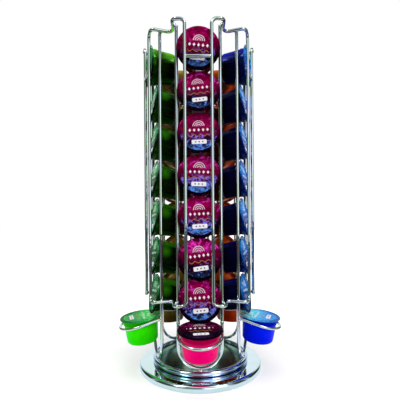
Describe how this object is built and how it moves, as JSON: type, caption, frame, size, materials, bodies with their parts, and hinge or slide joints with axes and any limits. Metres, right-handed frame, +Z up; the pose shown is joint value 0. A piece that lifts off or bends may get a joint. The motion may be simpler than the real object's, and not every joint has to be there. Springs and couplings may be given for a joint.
{
  "type": "coffee capsule dispenser",
  "caption": "Revolving chrome wire tower on a round base that holds columns of coffee capsules and offers the lowest one of each in a sloping hoop.",
  "frame": {"origin": "centre of the face that the base stands on", "axes": "+Z up along the axis that the tower turns about, -Y towards the column that faces the viewer"},
  "size_m": [0.151, 0.1454, 0.3119],
  "materials": {
    "base_chrome": "mirror",
    "turntable_chrome": "mirror",
    "chrome_wire": "mirror",
    "zinc_plate": "satin",
    "ball_steel": "polished",
    "washer_nylon": "matte",
    "sole_rubber": "matte",
    "capsule_crimson": "satin metallic",
    "capsule_blue": "satin metallic",
    "capsule_copper": "satin metallic",
    "capsule_bronze": "satin metallic",
    "capsule_green": "satin metallic"
  },
  "bodies": {
    "stand": {"base_disc": "base_chrome", "non_slip_base_cover": "sole_rubber", "pivot_rivet": "zinc_plate", "pivot_washer": "washer_nylon", "lower_bearing_race": "zinc_plate", "ball_cage_with_balls": "ball_steel"},
    "rotor": {"upper_bearing_race": "zinc_plate", "turntable_plate": "turntable_chrome", "turntable_ring": "turntable_chrome", "leg_frame_1": "chrome_wire", "corner_loop_1": "chrome_wire", "cradle_capsule_1": "capsule_crimson", "capsule_1_1": "capsule_crimson", "capsule_1_2": "capsule_crimson", "capsule_1_3": "capsule_crimson", "capsule_1_4": "capsule_crimson", "capsule_1_5": "capsule_crimson", "capsule_1_6": "capsule_crimson", "capsule_1_7": "capsule_crimson", "leg_frame_2": "chrome_wire", "corner_loop_2": "chrome_wire", "cradle_capsule_2": "capsule_blue", "capsule_2_1": "capsule_blue", "capsule_2_2": "capsule_blue", "capsule_2_3": "capsule_blue", "capsule_2_4": "capsule_blue", "capsule_2_5": "capsule_blue", "capsule_2_6": "capsule_blue", "capsule_2_7": "capsule_blue", "leg_frame_3": "chrome_wire", "corner_loop_3": "chrome_wire", "cradle_capsule_3": "capsule_copper", "capsule_3_1": "capsule_copper", "capsule_3_2": "capsule_copper", "capsule_3_3": "capsule_copper", "capsule_3_4": "capsule_copper", "capsule_3_5": "capsule_copper", "capsule_3_6": "capsule_copper", "capsule_3_7": "capsule_copper", "leg_frame_4": "chrome_wire", "corner_loop_4": "chrome_wire", "cradle_capsule_4": "capsule_bronze", "capsule_4_1": "capsule_bronze", "capsule_4_2": "capsule_bronze", "capsule_4_3": "capsule_bronze", "capsule_4_4": "capsule_bronze", "capsule_4_5": "capsule_bronze", "capsule_4_6": "capsule_bronze", "capsule_4_7": "capsule_bronze", "leg_frame_5": "chrome_wire", "corner_loop_5": "chrome_wire", "cradle_capsule_5": "capsule_green", "capsule_5_1": "capsule_green", "capsule_5_2": "capsule_green", "capsule_5_3": "capsule_green", "capsule_5_4": "capsule_green", "capsule_5_5": "capsule_green", "capsule_5_6": "capsule_green", "capsule_5_7": "capsule_green"}
  },
  "joints": [
    {"name": "turntable_spin", "type": "hinge", "parent": "stand", "child": "rotor", "pos_m": [0, 0, 0], "axis": [0, 0, 1], "continuous": true}
  ]
}
